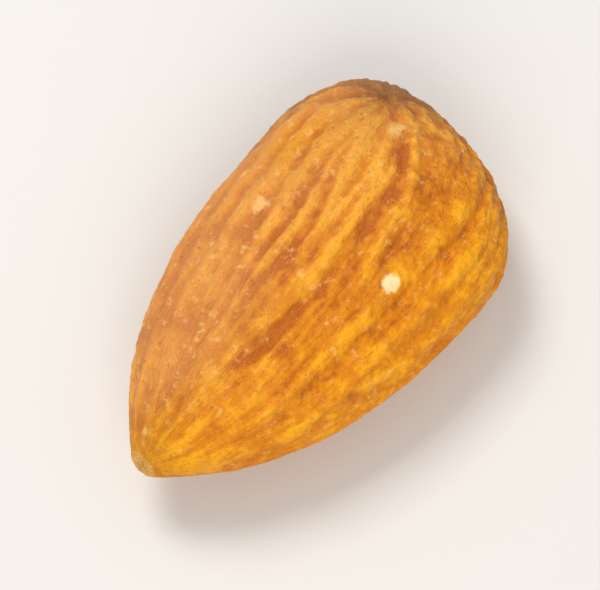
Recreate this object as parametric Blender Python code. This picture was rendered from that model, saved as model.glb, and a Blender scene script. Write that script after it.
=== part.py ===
"""A shelled almond kernel in its brown skin, lying on one broad face.

The kernel is one grown body: a flattened teardrop with a rounded blunt end, a pointed tip that ends
in a small blunt scar, lengthwise furrows that fan out from the blunt end, and a raised seam round
its edge. X runs from the tip to the blunt end, Y across the width, Z up through the thickness. The
origin is on the surface that the kernel rests on, under the middle of its box.
"""

import cmath
import math

import bmesh
import bpy
from mathutils import Vector, noise

# Driving dimensions, in metres.
LENGTH = 0.0244
WIDTH = 0.0148
THICKNESS = 0.0086

# Where the kernel is widest and thickest, as shares of its length from the tip.
WIDEST_AT = 0.71
THICKEST_AT = 0.60

# Directions from the body's middle reach the tip late, so that the mesh isn't crowded there.
TIP_SPREAD = 0.62

# The tip ends in a small blunt scar, which rounds off this share of the length.
SCAR_SHARE = 0.030

# The faces thin out towards the edge. Towards the blunt end, the middle line bows to +Y, and the very
# end leans further that way.
EDGE_PINCH = 0.13
BOW = 0.00035
LEAN = 0.0006
LEAN_POWER = 12

# The flat spot that the kernel rests on cuts this deep into its rounded underside. Around the spot the
# skin is smooth: the furrows fade in over this range of distances from straight down.
REST_DEPTH = 0.00022
REST_FADE = (0.30, 0.65)

# Furrows: how many go round the kernel, how deep they are and how far they wander.
FURROWS = 21
FURROW_DEPTH = 0.00024
FURROW_WANDER = 1.4
WANDER_SIZE = 0.005

# The point near the blunt end that the furrows fan out from, where the body's directions are projected
# from the tip on a plane. Its real part is across the width, and its imaginary part is upwards. The
# furrows fade where they crowd: near that point on the plane, and far from it, which is near the tip.
FURROW_CENTRE = complex(0.17, 0.07)
BLUNT_FADE = (0.20, 0.60)
TIP_FADE = (1.0, 3.2)

# The seam along the kernel's edge: its height, and its half-width as an angle round the kernel.
SEAM_HEIGHT = 0.00014
SEAM_SPREAD = 0.12

# The mean of the furrows' height, which keeps the kernel's size, and a guard against dividing by zero.
MEAN_HEIGHT = 0.57
NEAR_ZERO = 1e-4

# Broad unevenness of the whole body.
LUMP_HEIGHT = 0.00022
LUMP_SIZE = 0.0075

# Each face of the cube that the body is rounded from is cut into this many rows.
ROWS = 26

NAME = "almond_kernel"
SKIN_COLOUR = (0.60, 0.25, 0.065, 1.0)
SKIN_ROUGHNESS = 0.6


def clear_objects():
    """Removes every object that the file starts with."""
    for old in list(bpy.data.objects):
        bpy.data.objects.remove(old, do_unlink=True)


def skin_material():
    """The matt orange-brown of the kernel's skin."""
    skin = bpy.data.materials.new("almond_skin")
    skin.use_nodes = True
    shader = skin.node_tree.nodes["Principled BSDF"]
    shader.inputs["Base Color"].default_value = SKIN_COLOUR
    shader.inputs["Roughness"].default_value = SKIN_ROUGHNESS
    shader.inputs["Metallic"].default_value = 0.0
    return skin


def smooth_step(value, ends):
    """0 below the lower end, 1 above the higher one and a smooth rise between them."""
    low, high = ends
    share = min(1.0, max(0.0, (value - low) / (high - low)))
    return share * share * (3.0 - 2.0 * share)


def teardrop(share, peak, tip_bend, blunt_bend, blunt_root):
    """The half-breadth, from 0 to 1, at a share of the length from the tip, and 1 at the peak."""
    if share < peak:
        return 1.0 - (1.0 - share / peak) ** tip_bend
    return max(0.0, 1.0 - ((share - peak) / (1.0 - peak)) ** blunt_bend) ** blunt_root


def half_width(share):
    """Half of the width at a share of the length from the tip."""
    return WIDTH / 2 * teardrop(share, WIDEST_AT, tip_bend=2.7, blunt_bend=2.4, blunt_root=0.42)


def half_thickness(share):
    """Half of the thickness at a share of the length from the tip."""
    return THICKNESS / 2 * teardrop(share, THICKEST_AT, tip_bend=2.5, blunt_bend=2.2, blunt_root=0.47)


def body_point(direction):
    """The point of the smooth body that a unit direction from its middle stands for."""
    share = ((1.0 + direction.x) / 2) ** TIP_SPREAD
    angle = math.atan2(direction.z, direction.y)
    pinch = 1.0 - EDGE_PINCH * math.cos(angle) ** 2
    middle = BOW * share**2 + LEAN * share**LEAN_POWER
    return Vector(
        (
            LENGTH * math.hypot(share, SCAR_SHARE),
            half_width(share) * math.cos(angle) + middle,
            half_thickness(share) * math.sin(angle) * pinch,
        )
    )


def furrow_height(from_centre, point):
    """From 0 in a furrow to 1 on the crest between two, wandering and forking as grown furrows do."""
    wander = FURROW_WANDER * noise.noise(point / WANDER_SIZE)
    wave = abs(math.cos(FURROWS * cmath.phase(from_centre) / 2 + wander))
    return 0.5 * (wave + wave * wave)


def furrow_strength(from_centre, direction):
    """How much of their depth the furrows have here. They fade at both ends and round the flat spot."""
    gathered = abs(from_centre)
    ends = smooth_step(gathered, BLUNT_FADE) * (1.0 - smooth_step(gathered, TIP_FADE))
    if direction.z < 0:
        return ends * smooth_step(math.hypot(direction.x, direction.y), REST_FADE)
    return ends


def relief(direction, point):
    """How far the skin stands off the smooth body at a point."""
    on_plane = complex(direction.y, direction.z) / max(NEAR_ZERO, 1.0 + direction.x)
    from_centre = on_plane - FURROW_CENTRE
    height = furrow_height(from_centre, point) - MEAN_HEIGHT
    furrows = FURROW_DEPTH * height * furrow_strength(from_centre, direction)
    tilt = math.atan2(direction.z, abs(direction.y))
    seam = SEAM_HEIGHT * math.exp(-((tilt / SEAM_SPREAD) ** 2)) * (1.0 - direction.x**2)
    lumps = LUMP_HEIGHT * noise.noise(point / LUMP_SIZE)
    return furrows + seam + lumps


def rounded_cube():
    """A bmesh cube cut into a grid and blown up into a unit sphere, which has no poles."""
    body = bmesh.new()
    bmesh.ops.create_cube(body, size=2.0)
    bmesh.ops.subdivide_edges(body, edges=body.edges[:], cuts=ROWS - 1, use_grid_fill=True)
    for vertex in body.verts:
        even = Vector([math.tan(side * math.pi / 4) for side in vertex.co])
        vertex.co = even.normalized()
    return body


def shape_kernel(body):
    """Turns the unit sphere into the kernel, with its skin's relief along the body's normals."""
    directions = [vertex.co.copy() for vertex in body.verts]
    for vertex, direction in zip(body.verts, directions):
        vertex.co = body_point(direction)
    body.normal_update()
    normals = [vertex.normal.copy() for vertex in body.verts]
    for vertex, direction, normal in zip(body.verts, directions, normals):
        vertex.co += normal * relief(direction, vertex.co)


def cut_resting_spot(body):
    """Cuts a small flat spot under the kernel and closes it with one flat face."""
    ground = min(vertex.co.z for vertex in body.verts) + REST_DEPTH
    whole = body.verts[:] + body.edges[:] + body.faces[:]
    cut = bmesh.ops.bisect_plane(
        body, geom=whole, dist=1e-7, plane_co=(0, 0, ground), plane_no=(0, 0, -1), clear_outer=True
    )
    rim = [item for item in cut["geom_cut"] if isinstance(item, bmesh.types.BMEdge)]
    for edge in rim:
        for vertex in edge.verts:
            vertex.co.z = ground
    bmesh.ops.contextual_create(body, geom=rim)


def fit_to_size(body):
    """Trims the body to its exact length, width and thickness, standing over the origin."""
    for axis, size in enumerate((LENGTH, WIDTH, THICKNESS)):
        places = [vertex.co[axis] for vertex in body.verts]
        middle = (min(places) + max(places)) / 2
        trim = size / (max(places) - min(places))
        for vertex in body.verts:
            vertex.co[axis] = (vertex.co[axis] - middle) * trim
    bmesh.ops.translate(body, verts=body.verts[:], vec=(0, 0, THICKNESS / 2))


def build_kernel(collection):
    """Makes the kernel as one closed object in the collection."""
    body = rounded_cube()
    shape_kernel(body)
    cut_resting_spot(body)
    fit_to_size(body)
    bmesh.ops.recalc_face_normals(body, faces=body.faces[:])
    mesh = bpy.data.meshes.new(NAME)
    body.to_mesh(mesh)
    body.free()
    mesh.shade_smooth()
    mesh.materials.append(skin_material())
    kernel = bpy.data.objects.new(NAME, mesh)
    collection.objects.link(kernel)


def main():
    """Builds the almond in a collection of its own."""
    clear_objects()
    collection = bpy.data.collections.new("almond")
    bpy.context.scene.collection.children.link(collection)
    build_kernel(collection)


main()
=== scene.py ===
"""Shapes and dresses a shelled almond kernel: its furrowed brown skin, its scar and its marks.

The kernel lies on a broad face. X runs from its tip to its blunt end, Y across its width and Z up
through its thickness. Lengths are in metres, and a share is a part of the length from the tip.
"""

import itertools
import logging
import math
from dataclasses import dataclass, field, replace
from enum import Enum

import bmesh
import bpy
import numpy as np
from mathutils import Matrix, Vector, noise

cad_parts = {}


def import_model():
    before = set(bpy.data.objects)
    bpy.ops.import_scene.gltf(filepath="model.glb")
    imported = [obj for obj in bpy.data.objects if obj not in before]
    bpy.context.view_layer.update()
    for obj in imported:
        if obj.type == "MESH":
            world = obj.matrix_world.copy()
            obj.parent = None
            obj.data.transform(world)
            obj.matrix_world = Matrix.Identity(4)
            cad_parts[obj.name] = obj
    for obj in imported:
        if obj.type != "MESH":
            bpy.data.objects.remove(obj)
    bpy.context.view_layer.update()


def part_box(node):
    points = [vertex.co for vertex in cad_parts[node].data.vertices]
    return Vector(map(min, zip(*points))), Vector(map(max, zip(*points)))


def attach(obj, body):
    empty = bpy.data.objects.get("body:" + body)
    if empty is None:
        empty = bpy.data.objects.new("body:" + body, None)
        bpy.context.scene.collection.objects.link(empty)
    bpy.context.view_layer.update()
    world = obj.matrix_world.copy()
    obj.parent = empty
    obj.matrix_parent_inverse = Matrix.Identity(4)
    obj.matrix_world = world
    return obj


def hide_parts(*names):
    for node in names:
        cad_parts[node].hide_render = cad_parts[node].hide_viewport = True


LOG = logging.getLogger("almond")
NODE = "almond_kernel"
SLOT = "almond_skin"
MILLIMETRE = 0.001

Colour = tuple[float, float, float, float]
Pair = tuple[float, float]


def mm(length: float) -> float:
    """A length given in millimetres, in metres."""
    return length * MILLIMETRE


def paint(red: float, green: float, blue: float) -> Colour:
    """Turns a colour as a screen shows it into the light that a surface sends back.

    Args:
        red: The red part as shown, from 0 to 1.
        green: The green part as shown.
        blue: The blue part as shown.

    Returns:
        The colour for a shader, with full cover.
    """
    shown = (red, green, blue)
    sent = [part / 12.92 if part <= 0.04045 else ((part + 0.055) / 1.055) ** 2.4 for part in shown]
    return (sent[0], sent[1], sent[2], 1.0)


def smooth_step(value: np.ndarray, low: float, high: float) -> np.ndarray:
    """Rises smoothly from 0 at low to 1 at high.

    Args:
        value: The numbers to place between the two ends.
        low: Where the rise starts.
        high: Where the rise ends.

    Returns:
        A number from 0 to 1 for each value.
    """
    part = np.clip((value - low) / (high - low), 0.0, 1.0)
    return part * part * (3.0 - 2.0 * part)


class Pattern(Enum):
    """The patterns that are read from one noise. A pattern's number says how far it is shifted."""

    SWAY = 0.5
    SMALL_SWAY = 0.6
    RIB_FRAY = 0.7
    DRIFT = 1.0
    FINE_DRIFT = 5.0
    RIB_PATCHES = 9.0
    VEINS = 19.0
    WRINKLES = 20.0
    FIBRES = 21.0
    GRAIN = 22.0
    FRIZZ = 23.0
    WOBBLE = 30.0
    FOLD_FRAY = 31.0
    FOLD_PATCHES = 32.0
    BEADS = 33.0


class SmoothNoise:
    """Smooth random heights in space, the same on every run."""

    SIDE = 64
    SHIFT = (17.31, 5.77, 11.13)

    def __init__(self, seed: int) -> None:
        """Draws the slopes that the heights are made from.

        Args:
            seed: Which of the many patterns this is.
        """
        slopes = np.random.default_rng(seed).normal(size=(self.SIDE, self.SIDE, self.SIDE, 3))
        self.slopes = slopes / np.linalg.norm(slopes, axis=-1, keepdims=True)

    def at(self, places: np.ndarray, pattern: Pattern, layer: int = 0) -> np.ndarray:
        """Reads the heights at some places.

        Args:
            places: One row of three numbers per place. The heights change over about 1 unit.
            pattern: Which pattern is read.
            layer: Which layer of the pattern is read, if it has more than one.

        Returns:
            A height per place, from about -0.8 to 0.8.
        """
        shifted = places + (pattern.value + layer) * np.array(self.SHIFT)
        cell = np.floor(shifted).astype(int)
        inside = shifted - cell
        fade = inside**3 * (inside * (inside * 6.0 - 15.0) + 10.0)
        total = np.zeros(len(places))
        for corner in itertools.product((0, 1), repeat=3):
            index = (cell + corner) % self.SIDE
            slope = self.slopes[index[:, 0], index[:, 1], index[:, 2]]
            weight = np.prod(np.where(np.array(corner) == 1, fade, 1.0 - fade), axis=1)
            total += weight * np.einsum("ij,ij->i", slope, inside - corner)
        return total


@dataclass(frozen=True)
class Region:
    """A round place on the body, and the angle in degrees at the body's middle that it fades out over.

    The place's own angle is round the body in degrees, from the +Y edge over the upper face.
    """

    share: float
    angle: float
    spread: float
    strength: float = 1.0


@dataclass(frozen=True)
class KernelForm:
    """The smooth body under the skin's relief, with the same proportions as the solid in the frame.

    A curve holds how soon the sides swell from the tip, how long they stay broad past the peak, and
    how squarely the blunt end closes. The shoulder is the blunt end's +Y corner, which is the fuller.
    """

    length: float
    width: float
    thickness: float
    widest_at: float = 0.71
    thickest_at: float = 0.60
    tip_spread: float = 0.62
    scar_share: float = 0.030
    scar_flatness: float = 3.2
    edge_pinch: float = 0.13
    bow: float = mm(0.35)
    lean: float = mm(0.6)
    lean_power: int = 12
    lump_height: float = mm(0.22)
    lump_size: float = mm(7.5)
    width_curve: tuple[float, float, float] = (2.7, 2.4, 0.42)
    thickness_curve: tuple[float, float, float] = (2.5, 2.2, 0.47)
    shoulder: Region = Region(0.95, 25.0, 30.0, mm(0.66))
    scar_tilt: float = 0.55

    @staticmethod
    def teardrop(
        share: np.ndarray, peak: float, bend: float, blunt_bend: float, root: float
    ) -> np.ndarray:
        """The half-breadth at shares of the length, which is 1 at the peak.

        Args:
            share: The shares of the length from the tip.
            peak: The share at which the body is broadest.
            bend: How soon the sides swell from the tip.
            blunt_bend: How long the sides stay broad past the peak.
            root: How squarely the blunt end closes.

        Returns:
            A half-breadth from 0 to 1 for each share.
        """
        from_tip = 1.0 - np.clip(1.0 - share / peak, 0.0, 1.0) ** bend
        past_peak = np.clip((share - peak) / (1.0 - peak), 0.0, 1.0)
        return np.where(share < peak, from_tip, (1.0 - past_peak**blunt_bend) ** root)

    def share_of(self, directions: np.ndarray) -> np.ndarray:
        """The share of the length that each unit direction from the middle stands for."""
        return np.clip((1.0 + directions[:, 0]) / 2, 0.0, 1.0) ** self.tip_spread

    def half_width(self, share: np.ndarray) -> np.ndarray:
        """Half of the width at shares of the length."""
        return self.width / 2 * self.teardrop(share, self.widest_at, *self.width_curve)

    def half_thickness(self, share: np.ndarray) -> np.ndarray:
        """Half of the thickness at shares of the length."""
        return self.thickness / 2 * self.teardrop(share, self.thickest_at, *self.thickness_curve)

    def points(self, directions: np.ndarray) -> np.ndarray:
        """The points of the smooth body, with the tip at X 0.

        Args:
            directions: Unit directions from the body's middle, one per row.

        Returns:
            One point per direction.
        """
        share = self.share_of(directions)
        angle = np.arctan2(directions[:, 2], directions[:, 1])
        pinch = 1.0 - self.edge_pinch * np.cos(angle) ** 2
        middle = self.bow * share**2 + self.lean * share**self.lean_power
        power = self.scar_flatness
        along = self.length * (share**power + self.scar_share**power) ** (1.0 / power)
        across = self.half_width(share) * np.cos(angle) + middle
        up = self.half_thickness(share) * np.sin(angle) * pinch
        along += self.scar_tilt * up * np.exp(-((share / (2 * self.scar_share)) ** 2))
        return np.stack((along, across, up), axis=1)

    def direction_at(self, share: float, angle: float) -> np.ndarray:
        """The unit direction that reaches a place on the body.

        Args:
            share: The place's share of the length from the tip.
            angle: Its angle round the body in degrees, from the +Y edge over the upper face.

        Returns:
            The direction's three parts.
        """
        along = 2.0 * share ** (1.0 / self.tip_spread) - 1.0
        around = math.sqrt(1.0 - along**2)
        turn = math.radians(angle)
        return np.array((along, around * math.cos(turn), around * math.sin(turn)))

    def lumps(self, points: np.ndarray) -> np.ndarray:
        """The body's broad unevenness at its points, the same as in the frame's solid."""
        heights = [noise.noise(Vector(point)) for point in points / self.lump_size]
        return self.lump_height * np.array(heights)

    def nearness(self, directions: np.ndarray, region: Region) -> np.ndarray:
        """How near some directions are to a region of the body.

        Args:
            directions: Unit directions from the body's middle, one per row.
            region: The region.

        Returns:
            The region's strength in its middle and 0 well away from it.
        """
        toward = np.clip(directions @ self.direction_at(region.share, region.angle), -1.0, 1.0)
        return region.strength * np.exp(-((np.degrees(np.arccos(toward)) / region.spread) ** 2))


@dataclass(frozen=True)
class Flow:
    """Where each point of the skin lies in the pattern of its ribs."""

    share: np.ndarray
    turns: np.ndarray
    compass: np.ndarray
    reach: np.ndarray
    tilt: np.ndarray
    face: np.ndarray

    def places(self, cells: Pair, ribs: int = 1) -> np.ndarray:
        """Places for noise that is drawn out along the ribs.

        Args:
            cells: How many cells of the noise lie across a rib, and how many along the kernel.
            ribs: How many ribs there are. With 1, the cells across it go round the whole kernel.

        Returns:
            One row of three numbers per point.
        """
        radius = cells[0] * ribs / math.tau
        along = self.share * cells[1]
        return np.stack((radius * self.compass.real, radius * self.compass.imag, along), axis=1)


@dataclass(frozen=True)
class Ribs:
    """The ribs and furrows that fan out from three places near the blunt end and run to the tip.

    The places are on the plane that the body's directions are projected on from the tip. Their real
    parts are across the width, and their imaginary parts are upwards. Each layer of ribs says how
    many of its ribs start from each place. A pair of cells is for Flow.places.
    """

    centres: tuple[complex, ...] = (0.20 + 0.28j, -0.03 + 0.10j, -0.27 + 0.04j)
    layers: tuple[tuple[int, ...], ...] = ((7, 3, 5), (14, 7, 9), (28, 13, 18))
    height_per_spacing: float = 0.18
    narrowest: float = mm(0.50)
    broadest: float = mm(2.1)
    crest_sharpness: float = 1.2
    mean_wave: float = 0.46
    sway: float = 0.22
    small_sway: float = 0.08
    drift: float = 2.4
    fine_drift: float = 1.2
    fray: float = 0.7
    fray_size: float = mm(0.55)
    sway_cells: Pair = (4.0, 2.4)
    small_sway_cells: Pair = (11.0, 6.0)
    drift_cells: Pair = (0.5, 4.0)
    fine_drift_cells: Pair = (1.2, 10.0)
    patch_cells: Pair = (0.6, 5.0)
    patch_level: float = 0.75
    patch_strength: float = 1.3
    patch_limits: Pair = (-0.2, 1.5)
    fade_from: float = 0.6
    longest_reach: float = 3.0
    least_depth: float = 1e-4
    least_distance: float = 1e-3
    least_scale: float = 1e-9
    evening_steps: int = 721

    def flow(self, form: KernelForm, directions: np.ndarray, grain: SmoothNoise) -> Flow:
        """Lays the pattern over the body.

        Args:
            form: The smooth body.
            directions: Unit directions from its middle, one per row.
            grain: The noise that makes the pattern sway.

        Returns:
            Each direction's place in the pattern.
        """
        depth = np.maximum(self.least_depth, 1.0 + directions[:, 0])
        on_plane = (directions[:, 1] + 1j * directions[:, 2]) / depth
        on_plane = np.where(np.abs(on_plane) < self.least_distance, self.least_distance, on_plane)
        from_centres = on_plane - np.array(self.centres)[:, None]
        weights = np.array(self.layers[1]) / sum(self.layers[1])
        share = form.share_of(directions)
        turns = self.evened(form, np.angle(from_centres))
        girth = np.sqrt((form.half_width(share) ** 2 + form.half_thickness(share) ** 2) / 2)
        crowding = np.abs(weights @ (on_plane / from_centres))
        straight = Flow(
            share=share,
            turns=turns,
            compass=weights @ np.exp(1j * turns),
            reach=girth / np.maximum(crowding, 1.0 / self.longest_reach),
            tilt=np.arctan2(directions[:, 2], np.abs(directions[:, 1])),
            face=np.angle(on_plane),
        )
        sway = self.sway * grain.at(straight.places(self.sway_cells), Pattern.SWAY)
        sway += self.small_sway * grain.at(straight.places(self.small_sway_cells), Pattern.SMALL_SWAY)
        return replace(straight, turns=turns + sway, compass=straight.compass * np.exp(1j * sway))

    def evened(self, form: KernelForm, angle: np.ndarray) -> np.ndarray:
        """Spaces angles round the kernel so that equal steps are equal lengths of its girth.

        Args:
            form: The smooth body.
            angle: Angles from the +Y edge over the upper face, from -pi to pi.

        Returns:
            The evened angles, from -pi to pi.
        """
        turns = np.linspace(-math.pi, math.pi, self.evening_steps)
        steps = np.hypot(form.width * np.sin(turns), form.thickness * np.cos(turns))
        lengths = np.concatenate(([0.0], np.cumsum((steps[1:] + steps[:-1]) / 2)))
        return np.interp(angle, turns, math.tau * lengths / lengths[-1] - math.pi)

    def crests(self, flow: Flow, points: np.ndarray, grain: SmoothNoise) -> tuple[np.ndarray, np.ndarray]:
        """Builds the ribs in layers of rising number, each where its spacing suits a kernel.

        Args:
            flow: The pattern's layout.
            points: The smooth body's points.
            grain: The noise that makes the ribs wander and break up.

        Returns:
            The height of each point in metres, and the same from about -1 to 1.
        """
        height = np.zeros_like(flow.share)
        scale = np.full_like(flow.share, self.least_scale)
        fray = self.fray * grain.at(points / self.fray_size, Pattern.RIB_FRAY)
        for layer, counts in enumerate(self.layers):
            count = sum(counts)
            spacing = math.tau * flow.reach / count
            fits = smooth_step(spacing, self.narrowest, 2 * self.narrowest)
            fits *= 1.0 - smooth_step(spacing, self.fade_from * self.broadest, self.broadest)
            drift = self.drift * grain.at(flow.places(self.drift_cells, count), Pattern.DRIFT, layer)
            fine = grain.at(flow.places(self.fine_drift_cells, count), Pattern.FINE_DRIFT, layer)
            phase = np.array(counts) @ flow.turns + drift + self.fine_drift * fine + fray
            wave = ((1.0 + np.cos(phase)) / 2) ** self.crest_sharpness - self.mean_wave
            patches = grain.at(flow.places(self.patch_cells, count), Pattern.RIB_PATCHES, layer)
            size = self.height_per_spacing * spacing * fits
            patchy = np.clip(self.patch_level + self.patch_strength * patches, *self.patch_limits)
            height += size * wave * patchy
            scale += size / 2
        return height, height / scale


@dataclass(frozen=True)
class Fold:
    """One rib of the upper face, or one furrow if its height is below 0.

    Its path runs from the blunt end towards the tip. Each of its points is a share of the length and
    an angle round the kernel in degrees, from the +Y edge over the upper face.
    """

    path: tuple[tuple[float, float], ...]
    height: float = mm(0.20)
    half_width: float = mm(0.36)
    end_fade: float = 0.035
    bend_radius: float = 0.035

    def angles(self, share: np.ndarray) -> np.ndarray:
        """The path's angles at shares of the length, with its corners rounded.

        Args:
            share: The shares of the length from the tip.

        Returns:
            The angles in radians.
        """
        shares, degrees = np.array(self.path[::-1]).T
        total = np.zeros_like(share)
        shifts = (-1.0, -0.5, 0.0, 0.5, 1.0)
        for shift in shifts:
            total += np.interp(share + shift * self.bend_radius, shares, degrees)
        return np.radians(total / len(shifts))

    def presence(
        self, form: KernelForm, flow: Flow, wobble: np.ndarray, spread: float = 1.0
    ) -> np.ndarray:
        """How much of the fold is at each point.

        Args:
            form: The smooth body.
            flow: The pattern's layout.
            wobble: How far each point is shifted across the fold, in metres, which frays its sides.
            spread: How many times its own breadth the fold is given.

        Returns:
            1 along the fold's middle and 0 away from it.
        """
        turn = (flow.face - self.angles(flow.share) + math.pi) % math.tau - math.pi
        width, thickness = form.half_width(flow.share), form.half_thickness(flow.share)
        breadth = np.hypot(width * np.sin(flow.face), thickness * np.cos(flow.face))
        across = (turn * breadth + wobble) / (spread * self.half_width)
        last, first = self.path[-1][0], self.path[0][0]
        ends = smooth_step(flow.share, last - self.end_fade, last + self.end_fade)
        ends *= 1.0 - smooth_step(flow.share, first - self.end_fade, first + self.end_fade)
        return ends * np.exp(-(across**2))


@dataclass(frozen=True)
class UpperFace:
    """The ribs and furrows of the upper face, which stand where they do on this kernel.

    The swells are broad, shallow rises and hollows under the folds. They take no room from other ribs.
    """

    folds: tuple[Fold, ...] = (
        Fold(((0.93, 79), (0.86, 95), (0.78, 102), (0.68, 105), (0.62, 112), (0.54, 115), (0.45, 114))),
        Fold(((0.88, 77), (0.76, 87), (0.65, 94)), height=mm(0.16)),
        Fold(((0.88, 64), (0.76, 75), (0.68, 79), (0.62, 84), (0.52, 87))),
        Fold(((0.71, 70), (0.60, 76), (0.47, 76)), height=mm(0.23)),
        Fold(((0.80, 56), (0.66, 62), (0.52, 66)), height=mm(0.22)),
        Fold(
            ((0.86, 40), (0.72, 46), (0.60, 49), (0.42, 50), (0.32, 48)),
            height=mm(0.22), half_width=mm(0.40),
        ),
        Fold(((0.82, 28), (0.72, 32), (0.58, 34), (0.48, 34)), height=mm(0.17)),
        Fold(((0.62, 93), (0.54, 96), (0.48, 93), (0.42, 97), (0.35, 91), (0.20, 92)), height=mm(0.31)),
        Fold(((0.58, 104), (0.46, 106), (0.28, 106)), height=mm(0.15)),
        Fold(((0.43, 112), (0.34, 114), (0.20, 118)), height=mm(0.10)),
        Fold(
            ((0.95, 129), (0.86, 125), (0.68, 121), (0.56, 123), (0.44, 125), (0.34, 128), (0.20, 133)),
            height=mm(0.16),
        ),
        Fold(
            ((0.92, 149), (0.80, 142), (0.64, 142), (0.50, 143), (0.38, 148), (0.24, 156)),
            height=mm(0.16),
        ),
        Fold(((0.93, 172), (0.82, 162), (0.74, 158), (0.62, 163), (0.50, 166)), height=mm(0.15)),
        Fold(((0.20, 150), (0.12, 150), (0.04, 152)), height=mm(0.26), half_width=mm(0.44)),
        Fold(
            ((0.90, 80), (0.83, 93), (0.74, 98), (0.65, 98), (0.58, 107), (0.47, 110)),
            height=mm(-0.13),
        ),
        Fold(((0.56, 100), (0.45, 102), (0.29, 101)), height=mm(-0.15)),
        Fold(
            ((0.87, 134), (0.74, 130), (0.58, 130), (0.48, 132), (0.33, 133)),
            height=mm(-0.15), half_width=mm(0.28),
        ),
        Fold(((0.71, 73), (0.60, 80), (0.46, 82)), height=mm(-0.13)),
        Fold(((0.90, 109), (0.80, 113), (0.68, 114)), height=mm(-0.10), half_width=mm(0.8)),
        Fold(((0.74, 64), (0.64, 69), (0.50, 72)), height=mm(-0.13), half_width=mm(0.24)),
        Fold(((0.80, 49), (0.66, 55), (0.48, 59)), height=mm(-0.13), half_width=mm(0.24)),
        Fold(((0.78, 37), (0.62, 41), (0.48, 42)), height=mm(-0.12), half_width=mm(0.24)),
    )
    swells: tuple[Fold, ...] = (
        Fold(((0.62, 60), (0.52, 62), (0.42, 66)), height=mm(-0.08), half_width=mm(1.1), end_fade=0.08),
        Fold(
            ((0.44, 98), (0.34, 104), (0.20, 110)),
            height=mm(-0.07), half_width=mm(1.4), end_fade=0.08,
        ),
        Fold(
            ((0.84, 160), (0.62, 160), (0.42, 158)),
            height=mm(0.05), half_width=mm(1.3), end_fade=0.08,
        ),
    )
    crest_level: float = mm(0.12)
    wobble: float = mm(0.21)
    wobble_size: float = mm(1.5)
    fray: float = mm(0.17)
    fray_size: float = mm(0.6)
    patch_level: float = 0.95
    patch_strength: float = 0.7
    patch_size: float = mm(2.2)
    bead_strength: float = 0.8
    bead_size: float = mm(0.8)
    clearance: float = 1.8
    room_taken: float = 0.85

    def relief(
        self, form: KernelForm, flow: Flow, points: np.ndarray, grain: SmoothNoise
    ) -> tuple[np.ndarray, np.ndarray]:
        """The height of the upper face's folds, and the room that they leave for other ribs.

        Args:
            form: The smooth body.
            flow: The pattern's layout.
            points: The smooth body's points.
            grain: The noise that frays the folds.

        Returns:
            A height in metres per point, and a number from 0 on a fold to 1 well away from any.
        """
        wobble = self.wobble * grain.at(points / self.wobble_size, Pattern.WOBBLE)
        wobble += self.fray * grain.at(points / self.fray_size, Pattern.FOLD_FRAY)
        patches = grain.at(points / self.patch_size, Pattern.FOLD_PATCHES)
        beads = grain.at(points / self.bead_size, Pattern.BEADS)
        patchy = self.patch_level + self.patch_strength * patches + self.bead_strength * beads
        rises = np.array([fold.height * fold.presence(form, flow, wobble) for fold in self.folds])
        taken = [fold.presence(form, flow, wobble, self.clearance) for fold in self.folds]
        broad = [swell.height * swell.presence(form, flow, wobble) for swell in self.swells]
        height = patchy * (rises.max(axis=0) + rises.min(axis=0)) + np.sum(broad, axis=0)
        return height, 1.0 - self.room_taken * np.max(taken, axis=0)


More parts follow.
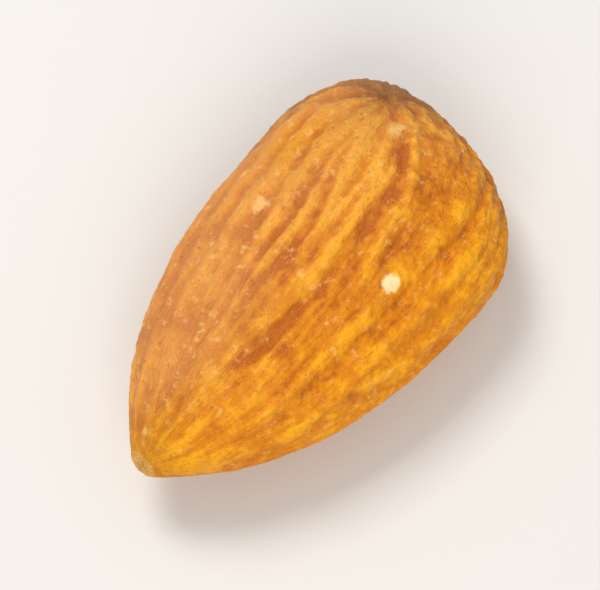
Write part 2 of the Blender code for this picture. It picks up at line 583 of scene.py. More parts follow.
@dataclass(frozen=True)
class Skin:
    """The skin's finer relief: wrinkles along the ribs, a rough grain, the seam and the tip's scar.

    A pair of cells is for Flow.places, and a pair of ends is for smooth_step.
    """

    vein_height: float = mm(0.13)
    wrinkle_height: float = mm(0.060)
    fibre_height: float = mm(0.030)
    grain_height: float = mm(0.14)
    grain_size: float = mm(0.50)
    frizz_height: float = mm(0.15)
    frizz_size: float = mm(0.62)
    seam_height: float = mm(0.13)
    seam_spread: float = 0.10
    seam_lines: float = mm(0.035)
    scar_share: float = 0.026
    lip_height: float = mm(0.06)
    pit_depth: float = mm(0.05)
    vein_cells: Pair = (24.0, 5.0)
    wrinkle_cells: Pair = (62.0, 13.0)
    fibre_cells: Pair = (150.0, 30.0)
    crease_level: float = 0.3
    grain_level: float = 0.22
    frizz_least: float = 0.12
    frizz_ends: Pair = (0.88, 0.965)
    lip_spread: float = 0.009
    pit_share: float = 0.4
    seam_start: Pair = (0.03, 0.25)
    seam_end: Pair = (0.85, 0.97)
    line_spacing: float = 0.065
    lines_reach: float = 0.30
    lines_edge: Pair = (0.2, 0.9)

    def fine(self, flow: Flow, points: np.ndarray, grain: SmoothNoise) -> np.ndarray:
        """Veins, wrinkles and fibres along the ribs, and the rough grain over them.

        Args:
            flow: The pattern's layout.
            points: The smooth body's points.
            grain: The noise that they are drawn from.

        Returns:
            A height in metres per point.
        """
        veins = self.crease_level - np.abs(grain.at(flow.places(self.vein_cells), Pattern.VEINS))
        wrinkles = self.crease_level - np.abs(grain.at(flow.places(self.wrinkle_cells), Pattern.WRINKLES))
        fibres = grain.at(flow.places(self.fibre_cells), Pattern.FIBRES)
        rough = np.abs(grain.at(points / self.grain_size, Pattern.GRAIN)) - self.grain_level
        frizz = self.frizz_height * grain.at(points / self.frizz_size, Pattern.FRIZZ)
        at_blunt_end = smooth_step(flow.share, *self.frizz_ends)
        along = self.vein_height * veins + self.wrinkle_height * wrinkles + self.fibre_height * fibres
        frizzy = self.frizz_least + (1.0 - self.frizz_least) * at_blunt_end
        return along + self.grain_height * rough + frizz * frizzy

    def tip(self, flow: Flow) -> np.ndarray:
        """The raised lip round the scar at the tip, and the shallow pit inside it.

        Args:
            flow: The pattern's layout.

        Returns:
            A height in metres per point.
        """
        lip = np.exp(-(((flow.share - self.scar_share) / self.lip_spread) ** 2))
        pit = 1.0 - smooth_step(flow.share, self.pit_share * self.scar_share, self.scar_share)
        return self.lip_height * lip - self.pit_depth * pit

    def seam(self, flow: Flow) -> np.ndarray:
        """The raised seam along both edges, with thin lines beside it on the -Y edge.

        Args:
            flow: The pattern's layout.

        Returns:
            A height in metres per point.
        """
        ends = smooth_step(flow.share, *self.seam_start) * (1.0 - smooth_step(flow.share, *self.seam_end))
        ridge = np.exp(-((flow.tilt / self.seam_spread) ** 2))
        lines = np.cos(flow.tilt / self.line_spacing) * np.exp(-((flow.tilt / self.lines_reach) ** 2))
        near_edge = smooth_step(-np.cos(flow.face), *self.lines_edge)
        return ends * (self.seam_height * ridge + self.seam_lines * lines * near_edge)


@dataclass(frozen=True)
class Zones:
    """Where the skin differs from the rest: a dull crown, painted highlights and painted shade, and a
    smooth flank.

    The crown is the chalaza's own dull colour at the blunt end's +Y corner, and painted shade from there
    along the +Y edge. The flank is on the upper face, between the tip and the +Y edge.
    """

    corner: Region = Region(0.975, 25.0, 27.0)
    edge_spread: float = 0.42
    edge_start: Pair = (0.50, 0.90)
    edge_end: Pair = (0.94, 0.99)
    edge_strength: float = 0.85
    painted_light_places: tuple[Region, ...] = (
        # Painted highlights near the +Y shoulder and at the tip.
        Region(0.76, 41.0, 20.0, 1.6),
        Region(0.05, 90.0, 16.0, 0.9),
        # Painted shade on the upper face, and near the +Y edge towards the tip.
        Region(0.50, 93.0, 26.0, -0.8),
        Region(0.33, 25.0, 18.0, -0.6),
    )
    flank_middle: Pair = (0.28, 1.05)
    flank_spread: Pair = (0.17, 0.50)
    flank_calm: float = 0.50
    tip_relief: float = 0.25
    tip_ends: Pair = (0.03, 0.18)

    def crown(self, form: KernelForm, directions: np.ndarray, flow: Flow) -> np.ndarray:
        """How dull and grey-brown the skin is: the chalaza's own colour at the blunt end's +Y corner, and
        painted shade in a band along the +Y edge, where it turns away from the light.

        Args:
            form: The smooth body.
            directions: The unit direction of each point.
            flow: The pattern's layout.

        Returns:
            1 in the middle of the dull place and 0 well away from it.
        """
        band = np.exp(-((flow.face / self.edge_spread) ** 2)) * smooth_step(flow.share, *self.edge_start)
        edge = self.edge_strength * band * (1.0 - smooth_step(flow.share, *self.edge_end))
        return np.maximum(form.nearness(directions, self.corner), edge)

    def painted_light_and_shade(self, form: KernelForm, directions: np.ndarray) -> np.ndarray:
        """How much painted light each point has: above 0 for painted highlights and below 0 for painted
        shade.
        """
        return np.sum([form.nearness(directions, region) for region in self.painted_light_places], axis=0)

    def flank(self, flow: Flow) -> np.ndarray:
        """How smooth and pinkish the skin is.

        Args:
            flow: The pattern's layout.

        Returns:
            1 in the middle of the flank and 0 well away from it.
        """
        along = (flow.share - self.flank_middle[0]) / self.flank_spread[0]
        around = (flow.face - self.flank_middle[1]) / self.flank_spread[1]
        return np.exp(-(along**2) - around**2)

    def calm(self, flow: Flow) -> np.ndarray:
        """How strong the relief is, from 0 to 1: less near the tip and on the flank."""
        at_tip = self.tip_relief + (1.0 - self.tip_relief) * smooth_step(flow.share, *self.tip_ends)
        return at_tip * (1.0 - self.flank_calm * self.flank(flow))


class MarkKind(Enum):
    """What a mark is: a chip that bares the flesh, a pale painted highlight that stands for a small glint,
    or a dark red spot.
    """

    CHIP = 0
    FLECK = 1
    BRUISE = 2


@dataclass(frozen=True)
class Mark:
    """A mark on the skin, with its place on the body and its size in metres."""

    kind: MarkKind
    share: float
    angle: float
    radius: float
    drawn_out: float = 1.0

    def depth_inside(self, form: KernelForm, directions: np.ndarray, points: np.ndarray) -> np.ndarray:
        """How far inside the mark each point lies.

        Args:
            form: The smooth body.
            directions: The unit direction of each point.
            points: The smooth body's points.

        Returns:
            1 in the mark's middle, 0 on its outline and down to -1 outside.
        """
        middle = points[int(np.argmax(directions @ form.direction_at(self.share, self.angle)))]
        away = (points - middle) / (self.radius * self.drawn_out, self.radius, self.radius)
        return np.maximum(1.0 - np.linalg.norm(away, axis=1), -1.0)


@dataclass(frozen=True)
class Marks:
    """All the marks on the skin, and how they change its relief."""

    every: tuple[Mark, ...] = (
        Mark(MarkKind.CHIP, 0.626, 121.0, mm(0.56)),
        Mark(MarkKind.CHIP, 0.826, 184.0, mm(0.26)),
        # Painted highlights: pale spots that stand for small glints on the skin.
        Mark(MarkKind.FLECK, 0.890, 76.0, mm(0.55), drawn_out=1.5),
        Mark(MarkKind.FLECK, 0.585, 55.0, mm(0.50), drawn_out=1.6),
        Mark(MarkKind.FLECK, 0.075, 62.0, mm(0.26), drawn_out=3.0),
        Mark(MarkKind.BRUISE, 0.410, 154.0, mm(0.50), drawn_out=1.6),
    )
    pit_depth: float = mm(0.10)
    pit_ends: Pair = (0.0, 0.45)
    lip_height: float = mm(0.05)
    lip_outside: float = 0.08
    lip_spread: float = 0.16

    def fields(self, form: KernelForm, directions: np.ndarray, points: np.ndarray) -> np.ndarray:
        """How far inside a mark of each kind every point lies.

        Args:
            form: The smooth body.
            directions: The unit direction of each point.
            points: The smooth body's points.

        Returns:
            One row per point, with one number per kind of mark.
        """
        fields = np.full((len(points), len(MarkKind)), -1.0)
        for mark in self.every:
            column = fields[:, mark.kind.value]
            np.maximum(column, mark.depth_inside(form, directions, points), out=column)
        return fields

    def relief(self, fields: np.ndarray) -> np.ndarray:
        """Sinks the chips and lifts the torn skin round them.

        Args:
            fields: How far inside each kind of mark every point lies.

        Returns:
            A height in metres per point.
        """
        chip = fields[:, MarkKind.CHIP.value]
        lip = np.exp(-(((chip + self.lip_outside) / self.lip_spread) ** 2))
        return self.lip_height * lip - self.pit_depth * smooth_step(chip, *self.pit_ends)


@dataclass(frozen=True)
class Mottle:
    """A noise in the skin: how many cells it has in a unit, how many finer layers and their strength.

    The weight is how much it counts beside others.
    """

    scale: float
    detail: float
    roughness: float = 0.5
    weight: float = 1.0


class Mixing(Enum):
    """How a coat's colour joins the colour under it."""

    COVERS = "MIX"
    TINTS = "MULTIPLY"


@dataclass(frozen=True)
class Coat:
    """A colour that comes in over the others as a level rises from one end to another.

    Its cover is how well it hides them, and its fray is how far noise moves the level.
    """

    colour: Colour
    ends: Pair
    cover: float = 1.0
    fray: float = 0.0
    mixing: Mixing = Mixing.COVERS


@dataclass(frozen=True)
class SkinPaint:
    """The colours of the skin, the noises that mottle it, its finest relief and how matt it is.

    A lift is how far something raises the level that a coat comes in with.
    """

    # The furrow, middle and crest colours are partly the skin's own and partly painted shade and light on
    # the relief.
    furrow: Colour = paint(0.735, 0.400, 0.135)
    middle: Coat = Coat(paint(0.870, 0.535, 0.145), (0.05, 0.55))
    crest: Coat = Coat(paint(0.965, 0.675, 0.220), (0.50, 1.05))
    # A pinkish tone, partly the skin's own and partly a painted sheen towards the +Y edge.
    rosy: Coat = Coat(paint(0.840, 0.550, 0.290), (0.30, 1.45), 0.65)
    # Painted warm bounce light: a golden tint that comes in towards the -Y side.
    golden: Coat = Coat((1.0, 0.95, 0.15, 1.0), (0.25, 1.1), mixing=Mixing.TINTS)
    speck: Coat = Coat(paint(0.560, 0.280, 0.110), (0.58, 0.78), 0.55)
    scurf: Coat = Coat(paint(0.980, 0.790, 0.480), (0.56, 0.76), 0.65)
    # The crown's dull grey-brown: the chalaza's own colour at the corner, and painted shade along the +Y
    # edge.
    crown: Coat = Coat(paint(0.560, 0.375, 0.235), (0.1, 0.9), 0.80, fray=1.0)
    scar: Coat = Coat(paint(1.000, 0.770, 0.390), (0.020, 0.034), 0.9, fray=0.02)
    bruise: Coat = Coat(speck.colour, (0.0, 1.0), 0.45, fray=2.0)
    # Painted highlights of small glints, in the scurf's pale colour.
    fleck: Coat = Coat(scurf.colour, (0.0, 0.8), 0.75, fray=2.0)
    chip: Coat = Coat(paint(0.990, 0.870, 0.650), (0.0, 0.35), fray=1.3)
    # The side lift makes the painted shade and light on the relief, and the mottling, stronger towards the
    # +Y side, where the lamps light the relief from the front.
    side_lift: Pair = (0.50, 0.80)
    # How far the painted highlights and shade raise or lower the level, and how much golden tint the
    # painted highlights add.
    painted_light_lift: float = 0.30
    painted_light_gold: float = 0.7
    fine_weight: float = 0.6
    streaks: Mottle = Mottle(2.6, 4.0, 0.65, 0.9)
    grain: Mottle = Mottle(1300.0, 4.0, 0.7, 1.1)
    blotches: Mottle = Mottle(620.0, 2.0, weight=1.5)
    patches: Mottle = Mottle(290.0, 1.0, weight=0.9)
    clouds: Mottle = Mottle(230.0, 2.0)
    specks: Mottle = Mottle(2600.0, 3.0, 0.6)
    flakes: Mottle = Mottle(1900.0, 4.0, 0.7)
    # More pale scurf towards the +Y side, which is partly scurf and partly a painted pale sheen.
    scurf_and_sheen_ends: Pair = (0.10, 1.30)
    scurf_and_sheen_lift: float = 0.03
    rags: Mottle = Mottle(1700.0, 3.0, 0.6)
    gloss: Mottle = Mottle(700.0, 2.0, weight=0.25)
    fibres: Mottle = Mottle(6.0, 3.0, 0.6)
    fibre_depth: float = mm(0.13)
    dust: Mottle = Mottle(2900.0, 4.0, 0.7)
    dust_depth: float = mm(0.12)
    bare_ends: Pair = (-0.1, 0.3)
    roughness: float = 0.55
    specular: float = 0.19
    sheen: float = 0.05
    sheen_roughness: float = 0.4


class Fabric:
    """A material's nodes, with short ways to add the ones that the skin needs."""

    def __init__(self, name: str) -> None:
        """Starts a material with a Principled BSDF.

        Args:
            name: The material's name.
        """
        self.material = bpy.data.materials.new(name)
        self.material.use_nodes = True
        self.tree = self.material.node_tree
        self.shader = self.tree.nodes["Principled BSDF"]

    def feed(self, socket: bpy.types.NodeSocket, value: object) -> None:
        """Links an output to an input, or sets the input to a plain value.

        Args:
            socket: The input.
            value: An output socket, a number, a vector or a colour.
        """
        if isinstance(value, bpy.types.NodeSocket):
            self.tree.links.new(value, socket)
        else:
            socket.default_value = value

    def stored(self, name: str, output: str = "Fac") -> bpy.types.NodeSocket:
        """Reads what the mesh stores for each point.

        Args:
            name: The name that it is stored under.
            output: The Attribute node's output.

        Returns:
            The output.
        """
        node = self.tree.nodes.new("ShaderNodeAttribute")
        node.attribute_name = name
        return node.outputs[output]

    def maths(self, operation: str, first: object, second: object) -> bpy.types.NodeSocket:
        """One sum on numbers.

        Args:
            operation: The Math node's operation.
            first: The first number or output.
            second: The second number or output.

        Returns:
            The result.
        """
        node = self.tree.nodes.new("ShaderNodeMath")
        node.operation = operation
        self.feed(node.inputs[0], first)
        self.feed(node.inputs[1], second)
        return node.outputs[0]

    def plus(self, first: object, second: object) -> bpy.types.NodeSocket:
        """The sum of two numbers or outputs."""
        return self.maths("ADD", first, second)

    def minus(self, first: object, second: object) -> bpy.types.NodeSocket:
        """The first number or output less the second."""
        return self.maths("SUBTRACT", first, second)

    def times(self, first: object, second: object) -> bpy.types.NodeSocket:
        """The product of two numbers or outputs."""
        return self.maths("MULTIPLY", first, second)

    def between(self, value: object, ends: Pair) -> bpy.types.NodeSocket:
        """A smooth rise from 0 to 1 as a value goes from one end to the other.

        Args:
            value: The number or output to place.
            ends: Where the rise starts and where it ends.

        Returns:
            The result.
        """
        node = self.tree.nodes.new("ShaderNodeMapRange")
        node.interpolation_type = "SMOOTHSTEP"
        self.feed(node.inputs["Value"], value)
        node.inputs["From Min"].default_value, node.inputs["From Max"].default_value = ends
        return node.outputs["Result"]

    def noise(self, vector: object, mottle: Mottle) -> bpy.types.NodeSocket:
        """Smooth noise from 0 to 1.

        Args:
            vector: The places that it is read at.
            mottle: The noise's cells and finer layers.

        Returns:
            The noise's value.
        """
        node = self.tree.nodes.new("ShaderNodeTexNoise")
        self.feed(node.inputs["Vector"], vector)
        node.inputs["Scale"].default_value = mottle.scale
        node.inputs["Detail"].default_value = mottle.detail
        node.inputs["Roughness"].default_value = mottle.roughness
        return node.outputs["Fac"]

    def coated(self, under: object, coat: Coat, presence: object) -> bpy.types.NodeSocket:
        """Lays a coat over a colour.

        Args:
            under: The colour so far.
            coat: The coat.
            presence: How much of the coat there is, from 0 to 1.

        Returns:
            The mixed colour.
        """
        node = self.tree.nodes.new("ShaderNodeMix")
        node.data_type = "RGBA"
        node.blend_type = coat.mixing.value
        self.feed(node.inputs["Factor"], self.times(presence, coat.cover))
        self.feed(node.inputs["A"], under)
        self.feed(node.inputs["B"], coat.colour)
        return node.outputs["Result"]

    def bump(
        self, height: object, depth: float, strength: object = 1.0, under: object = None
    ) -> bpy.types.NodeSocket:
        """Tilts the surface by a height.

        Args:
            height: The height, from 0 to 1.
            depth: What 1 stands for, in metres.
            strength: How much of the bump there is, from 0 to 1.
            under: The normal from a bump below this one.

        Returns:
            The tilted normal.
        """
        node = self.tree.nodes.new("ShaderNodeBump")
        node.inputs["Distance"].default_value = depth
        self.feed(node.inputs["Height"], height)
        self.feed(node.inputs["Strength"], strength)
        if under is not None:
            self.feed(node.inputs["Normal"], under)
        return node.outputs["Normal"]

    def parts(self, vector: object) -> list[bpy.types.NodeSocket]:
        """Takes a vector apart.

        Args:
            vector: The vector's output.

        Returns:
            Its three numbers.
        """
        node = self.tree.nodes.new("ShaderNodeSeparateXYZ")
        self.feed(node.inputs[0], vector)
        return list(node.outputs)


class AlmondSkin:
    """The kernel's skin as a material, painted from what its mesh stores for each point."""

    def __init__(self, look: SkinPaint) -> None:
        """Builds the skin from its colour to its finest relief.

        Args:
            look: The skin's colours and how matt it is.
        """
        self.look = look
        self.fabric = fabric = Fabric(SLOT)
        self.place = fabric.tree.nodes.new("ShaderNodeTexCoord").outputs["Object"]
        self.streaks = fabric.stored("flow", "Vector")
        self.side = fabric.stored("side")
        # The painted highlights and painted shade that the mesh stores.
        self.painted_light_and_shade = fabric.stored("painted_light_and_shade")
        self.marks = fabric.parts(fabric.stored("marks", "Vector"))
        self.ragged = fabric.minus(fabric.noise(self.place, look.rags), 0.5)
        colour = self.marked(self.zoned(self.ground()))
        fabric.feed(fabric.shader.inputs["Base Color"], colour)
        self.finish()

    def laid(self, under: object, coat: Coat, level: object) -> bpy.types.NodeSocket:
        """Lays a coat where a level rises between the coat's ends."""
        return self.fabric.coated(under, coat, self.fabric.between(level, coat.ends))

    def frayed(self, level: object, coat: Coat) -> bpy.types.NodeSocket:
        """Moves a level by noise, so that the coat's outline is ragged."""
        return self.fabric.plus(level, self.fabric.times(self.ragged, coat.fray))

    def ground(self) -> bpy.types.NodeSocket:
        """The colour that follows the ribs: reddish in the furrows and golden on the crests, partly the
        skin's own colour and partly painted shade in the furrows and painted light on the crests.

        Returns:
            The colour.
        """
        fabric, look = self.fabric, self.look
        # Stronger painted shade and light on the relief towards the +Y side, where the lamps light it from
        # the front.
        lift = fabric.plus(fabric.times(self.side, look.side_lift[0]), look.side_lift[1])
        heights = (
            (fabric.stored("crest"), lift),
            (fabric.noise(self.streaks, look.streaks), look.streaks.weight),
            (fabric.noise(self.place, look.grain), look.grain.weight),
            (fabric.noise(self.place, look.blotches), fabric.times(lift, look.blotches.weight)),
            (fabric.noise(self.place, look.patches), fabric.times(lift, look.patches.weight)),
            (fabric.stored("fine"), look.fine_weight),
        )
        level = 0.5
        for height, weight in heights:
            level = fabric.plus(level, fabric.times(fabric.minus(height, 0.5), weight))
        # Painted highlights raise the level towards the crest colour, and painted shade lowers it.
        level = fabric.plus(level, fabric.times(self.painted_light_and_shade, look.painted_light_lift))
        return self.laid(self.laid(look.furrow, look.middle, level), look.crest, level)

    def zoned(self, colour: object) -> bpy.types.NodeSocket:
        """The broad changes of colour, with a painted sheen towards the +Y side and painted warm bounce
        light towards the -Y side, and the fine dark specks and pale scurf over them.

        Args:
            colour: The colour so far.

        Returns:
            The colour.
        """
        fabric, look = self.fabric, self.look
        cloud = fabric.noise(self.place, look.clouds)
        # Pinkish towards the +Y side and on the flank: partly the skin's tone, partly a painted sheen
        # along the +Y edge.
        toward = fabric.plus(fabric.plus(self.side, cloud), fabric.stored("flank"))
        colour = self.laid(colour, look.rosy, toward)
        painted_highlights = fabric.times(fabric.maths("MAXIMUM", self.painted_light_and_shade, 0.0), look.painted_light_gold)
        # Painted warm bounce light towards the -Y side, mottled by the cloud noise, with more of it under
        # the painted highlights.
        away = fabric.plus(fabric.minus(cloud, self.side), painted_highlights)
        colour = self.laid(colour, look.golden, away)
        colour = self.laid(colour, look.speck, fabric.noise(self.place, look.specks))
        # More pale scurf towards the +Y side: partly scurf, partly a painted pale sheen along that edge.
        scurf_and_sheen = fabric.times(fabric.between(toward, look.scurf_and_sheen_ends), look.scurf_and_sheen_lift)
        flaky = fabric.plus(fabric.noise(self.place, look.flakes), scurf_and_sheen)
        return self.laid(colour, look.scurf, flaky)

    def marked(self, colour: object) -> bpy.types.NodeSocket:
        """The dull crown at the blunt end with its painted shade along the +Y edge, the scar at the tip,
        and the marks.

        Args:
            colour: The colour so far.

        Returns:
            The colour.
        """
        fabric, look = self.fabric, self.look
        # The crown: the chalaza's own dull colour, and painted shade along the +Y edge.
        colour = self.laid(colour, look.crown, self.frayed(fabric.stored("crown"), look.crown))
        edge = self.frayed(fabric.stored("share"), look.scar)
        scar = fabric.minus(1.0, fabric.between(edge, look.scar.ends))
        colour = fabric.coated(colour, look.scar, scar)
        coats = {MarkKind.BRUISE: look.bruise, MarkKind.FLECK: look.fleck, MarkKind.CHIP: look.chip}
        for kind, coat in coats.items():
            colour = self.laid(colour, coat, self.frayed(self.marks[kind.value], coat))
        return colour

    def finish(self) -> None:
        """How matt the skin is, and its finest relief. The bare flesh has no fibres."""
        fabric, look = self.fabric, self.look
        patches = fabric.minus(fabric.noise(self.place, look.gloss), 0.5)
        roughness = fabric.plus(fabric.times(patches, look.gloss.weight), look.roughness)
        fabric.feed(fabric.shader.inputs["Roughness"], roughness)
        fabric.shader.inputs["Specular IOR Level"].default_value = look.specular
        fabric.shader.inputs["Sheen Weight"].default_value = look.sheen
        fabric.shader.inputs["Sheen Roughness"].default_value = look.sheen_roughness
        bare = fabric.between(self.marks[MarkKind.CHIP.value], look.bare_ends)
        fibres = fabric.noise(self.streaks, look.fibres)
        normal = fabric.bump(fibres, look.fibre_depth, fabric.minus(1.0, bare))
        normal = fabric.bump(fabric.noise(self.place, look.dust), look.dust_depth, under=normal)
        fabric.feed(fabric.shader.inputs["Normal"], normal)


@dataclass
class AlmondKernel:
    """The kernel in its skin: one closed body with ribs, furrows, a scar at the tip and marks."""

    form: KernelForm
    ribs: Ribs = Ribs()
    upper_face: UpperFace = UpperFace()
    skin: Skin = Skin()
    zones: Zones = Zones()
    marks: Marks = Marks()
    look: SkinPaint = SkinPaint()
    rows: int = 128
    seed: int = 7
    rest_depth: float = mm(0.22)
    rest_softness: float = 0.25
    calmest_fine: float = 0.4
    crest_contrast: float = 0.42
    fine_reach: float = mm(0.14)
    streak_cells: Pair = (31.0, 5.0)
    map_rows: Pair = (0.75, 0.25)
    map_reach: Pair = (0.495, 0.245)
    piece: bpy.types.Object = field(init=False)
    directions: np.ndarray = field(init=False)

    def rounded_cube(self) -> bpy.types.Mesh:
        """Makes a unit sphere from a finely cut cube, which has no poles.

        Returns:
            The sphere's mesh.
        """
        body = bmesh.new()
        bmesh.ops.create_cube(body, size=2.0)
        bmesh.ops.subdivide_edges(body, edges=body.edges[:], cuts=self.rows - 1, use_grid_fill=True)
        mesh = bpy.data.meshes.new("furrowed_kernel")
        body.to_mesh(mesh)
        body.free()
        places = np.tan(self.read(mesh) * math.pi / 4)
        self.directions = places / np.linalg.norm(places, axis=1, keepdims=True)
        return mesh

    @staticmethod
    def read(mesh: bpy.types.Mesh) -> np.ndarray:
        """Reads the points of a mesh.

        Args:
            mesh: The mesh.

        Returns:
            One row of three numbers per point.
        """
        found = np.empty(len(mesh.vertices) * 3)
        mesh.vertices.foreach_get("co", found)
        return found.reshape(-1, 3)

    @staticmethod
    def write(mesh: bpy.types.Mesh, points: np.ndarray) -> None:
        """Moves the mesh's points."""
        mesh.vertices.foreach_set("co", points.ravel())
        mesh.update()

    def raised(self, mesh: bpy.types.Mesh, flow: Flow, grain: SmoothNoise) -> np.ndarray:
        """Raises the relief along the smooth body's normals.

        Args:
            mesh: The mesh, which holds the smooth body.
            flow: The pattern's layout.
            grain: The noise that the relief is drawn from.

        Returns:
            The points of the furrowed body.
        """
        smooth = self.read(mesh)
        normals = np.empty(len(smooth) * 3)
        mesh.vertex_normals.foreach_get("vector", normals)
        height, crest = self.ribs.crests(flow, smooth, grain)
        folds, elsewhere = self.upper_face.relief(self.form, flow, smooth, grain)
        calm = self.zones.calm(flow)
        fine = self.skin.fine(flow, smooth, grain)
        fields = self.marks.fields(self.form, self.directions, smooth)
        fine_strength = self.calmest_fine + (1.0 - self.calmest_fine) * calm
        relief = (height * elsewhere + folds) * calm + fine * fine_strength + self.skin.seam(flow)
        relief += self.form.lumps(smooth) + self.form.nearness(self.directions, self.form.shoulder)
        relief += self.marks.relief(fields) + self.skin.tip(flow)
        level = crest * elsewhere + folds / self.upper_face.crest_level
        self.store(mesh, "crest", np.clip(0.5 + self.crest_contrast * level * calm, 0.0, 1.0))
        self.store(mesh, "fine", np.clip(0.5 + fine / self.fine_reach, 0.0, 1.0))
        self.store(mesh, "marks", fields)
        return smooth + normals.reshape(-1, 3) * relief[:, None]

    @staticmethod
    def store(mesh: bpy.types.Mesh, name: str, values: np.ndarray) -> None:
        """Keeps a number or a vector for each point of the mesh, for its material to read.

        Args:
            mesh: The mesh.
            name: The name to keep it under.
            values: One number or one row of three numbers per point.
        """
        is_vector = values.ndim == 2
        kept = mesh.attributes.new(name, "FLOAT_VECTOR" if is_vector else "FLOAT", "POINT")
        kept.data.foreach_set("vector" if is_vector else "value", values.ravel())

    def settled(self, points: np.ndarray) -> np.ndarray:
        """Trims the body to its exact size and flattens the spot that it rests on.

        Args:
            points: The furrowed body's points.

        Returns:
            The points in the frame, standing over the origin.
        """
        lowest = points[:, 2].min() + self.rest_depth
        soft = self.rest_softness * self.rest_depth
        above = points[:, 2] - lowest
        points[:, 2] = (above + np.sqrt(above**2 + soft**2)) / 2
        low, high = points.min(axis=0), points.max(axis=0)
        size = np.array((self.form.length, self.form.width, self.form.thickness))
        return (points - (low + high) / 2) * size / (high - low) + (0.0, 0.0, self.form.thickness / 2)

    def unwrap(self, mesh: bpy.types.Mesh) -> None:
        """Lays the upper face and the underside out as two ovals on one map.

        Args:
            mesh: The kernel's mesh.
        """
        corners = np.empty(len(mesh.loops), dtype=np.int32)
        mesh.loops.foreach_get("vertex_index", corners)
        faces = corners.reshape(-1, 4)
        upper = np.repeat(self.directions[faces][:, :, 2].mean(axis=1) > 0, 4)
        toward = self.directions[corners]
        outward = np.arccos(np.clip(np.abs(toward[:, 2]), 0.0, 1.0)) / (math.pi / 2)
        turn = np.arctan2(toward[:, 1], toward[:, 0])
        across = outward * np.sin(turn) * np.where(upper, 1.0, -1.0)
        map_u = 0.5 + self.map_reach[0] * outward * np.cos(turn)
        map_v = np.where(upper, *self.map_rows) + self.map_reach[1] * across
        layer = mesh.uv_layers.new(name="OFBake")
        layer.uv.foreach_set("vector", np.stack((map_u, map_v), axis=1).ravel())

    def build(self) -> None:
        """Makes the kernel's mesh and puts it in the scene."""
        mesh = self.rounded_cube()
        grain = SmoothNoise(self.seed)
        flow = self.ribs.flow(self.form, self.directions, grain)
        self.write(mesh, self.form.points(self.directions))
        points = self.settled(self.raised(mesh, flow, grain))
        self.write(mesh, points)
        self.store(mesh, "flow", flow.places(self.streak_cells))
        self.store(mesh, "share", flow.share)
        self.store(mesh, "crown", self.zones.crown(self.form, self.directions, flow))
        self.store(mesh, "flank", self.zones.flank(flow))
        # Painted highlights and painted shade, for the material to read.
        self.store(mesh, "painted_light_and_shade", self.zones.painted_light_and_shade(self.form, self.directions))
        self.store(mesh, "side", np.clip(points[:, 1] / (self.form.width / 2), -1.0, 1.0))
        self.unwrap(mesh)
        mesh.shade_smooth()
        self.piece = bpy.data.objects.new("furrowed_kernel", mesh)
        bpy.context.scene.collection.objects.link(self.piece)

    def dress(self) -> None:
        """Gives the kernel its skin."""
        self.piece.data.materials.append(AlmondSkin(self.look).fabric.material)

    def join_frame(self) -> None:
        """Puts the kernel in the frame in place of its plain solid."""
        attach(self.piece, "root")
        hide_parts(NODE)


@dataclass(frozen=True)
class Lamp:
    """A soft square light that faces the kernel."""

    name: str
    azimuth: float
    elevation: float
    distance: float
    size: float
    power: float
    colour: tuple[float, float, float] = (1.0, 1.0, 1.0)


@dataclass(frozen=True)
class FloorPaint:
    """The floor's pale matt finish."""

    colour: Colour = paint(0.885, 0.88, 0.87)
    roughness: float = 0.9
    specular: float = 0.1


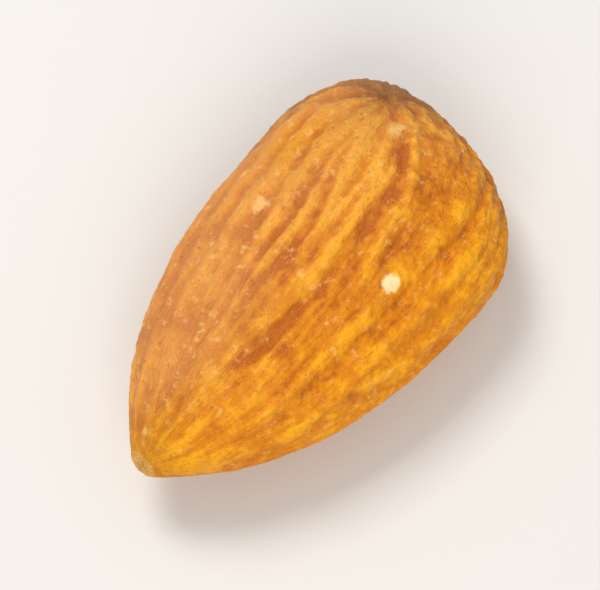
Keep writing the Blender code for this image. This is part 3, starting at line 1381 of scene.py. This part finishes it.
@dataclass
class Studio:
    """The pale floor, the soft lights and the camera round the kernel.

    The lens and the sensor are in millimetres, as cameras give them.
    """

    middle: Vector
    azimuth: float = -48.0
    elevation: float = 70.0
    lens: float = 220.0
    sensor: float = 36.0
    view_width: float = 0.0305
    clip_start: float = 0.01
    floor_size: float = 3.0
    floor_look: FloorPaint = FloorPaint()
    lamps: tuple[Lamp, ...] = (
        Lamp("key", 168.0, 58.0, 0.30, 0.12, 0.50, (1.0, 0.97, 0.93)),
        Lamp("fill", -50.0, 36.0, 0.35, 0.26, 0.67, (1.0, 0.95, 0.88)),
    )
    air: Colour = (1.0, 1.0, 1.0, 1.0)
    air_strength: float = 0.50

    @staticmethod
    def toward(azimuth: float, elevation: float) -> Vector:
        """The direction from the kernel to what stands at an azimuth and elevation.

        Args:
            azimuth: Degrees round the kernel, 0 in front of it and 90 to its right.
            elevation: Degrees above the floor.

        Returns:
            A unit vector.
        """
        turn, lift = math.radians(azimuth), math.radians(elevation)
        level = math.cos(lift)
        return Vector((math.sin(turn) * level, -math.cos(turn) * level, math.sin(lift)))

    def place(self, thing: bpy.types.Object, azimuth: float, elevation: float, distance: float) -> None:
        """Stands a light or a camera off from the kernel and turns it to face the middle.

        Args:
            thing: The light or camera.
            azimuth: Where it stands round the kernel, in degrees.
            elevation: How high it stands, in degrees.
            distance: How far off it stands, in metres.
        """
        away = self.toward(azimuth, elevation)
        thing.location = self.middle + away * distance
        thing.rotation_euler = away.to_track_quat("Z", "Y").to_euler()
        bpy.context.scene.collection.objects.link(thing)

    def lay_floor(self) -> None:
        """Lays the plain floor, which isn't part of the almond."""
        mesh = bpy.data.meshes.new("floor")
        sheet = bmesh.new()
        bmesh.ops.create_grid(sheet, x_segments=1, y_segments=1, size=self.floor_size / 2)
        sheet.to_mesh(mesh)
        sheet.free()
        fabric = Fabric("floor")
        fabric.shader.inputs["Base Color"].default_value = self.floor_look.colour
        fabric.shader.inputs["Roughness"].default_value = self.floor_look.roughness
        fabric.shader.inputs["Specular IOR Level"].default_value = self.floor_look.specular
        mesh.materials.append(fabric.material)
        floor = bpy.data.objects.new("floor", mesh)
        bpy.context.scene.collection.objects.link(floor)

    def hang_lamps(self) -> None:
        """Hangs the soft lights and brightens the air."""
        for lamp in self.lamps:
            light = bpy.data.lights.new(lamp.name, "AREA")
            light.size = lamp.size
            light.energy = lamp.power
            light.color = lamp.colour
            self.place(bpy.data.objects.new(lamp.name, light), lamp.azimuth, lamp.elevation, lamp.distance)
        world = bpy.data.worlds.new("air")
        world.use_nodes = True
        background = world.node_tree.nodes["Background"]
        background.inputs["Color"].default_value = self.air
        background.inputs["Strength"].default_value = self.air_strength
        bpy.context.scene.world = world

    def set_camera(self) -> None:
        """Sets a long lens on the kernel from high above, on the side of its tip."""
        lens = bpy.data.cameras.new("camera")
        lens.lens = self.lens
        lens.sensor_width = self.sensor
        lens.clip_start = self.clip_start
        camera = bpy.data.objects.new("camera", lens)
        distance = mm(self.view_width / mm(self.sensor) * self.lens)
        self.place(camera, self.azimuth, self.elevation, distance)
        bpy.context.scene.camera = camera
        bpy.context.scene.view_settings.view_transform = "Standard"


def main() -> None:
    """Builds the kernel in the frame, then the studio round it."""
    logging.basicConfig(level=logging.INFO, format="%(name)s: %(message)s")
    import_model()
    low, high = (Vector(corner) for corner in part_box(NODE))
    size = high - low
    kernel = AlmondKernel(KernelForm(size.x, size.y, size.z))
    kernel.build()
    kernel.dress()
    kernel.join_frame()
    LOG.info("%s has %d points", kernel.piece.name, len(kernel.piece.data.vertices))
    studio = Studio(middle=(low + high) / 2)
    studio.lay_floor()
    studio.hang_lamps()
    studio.set_camera()
    LOG.info("floor, %d lamps and the camera are set", len(studio.lamps))


if __name__ == "__main__":
    main()
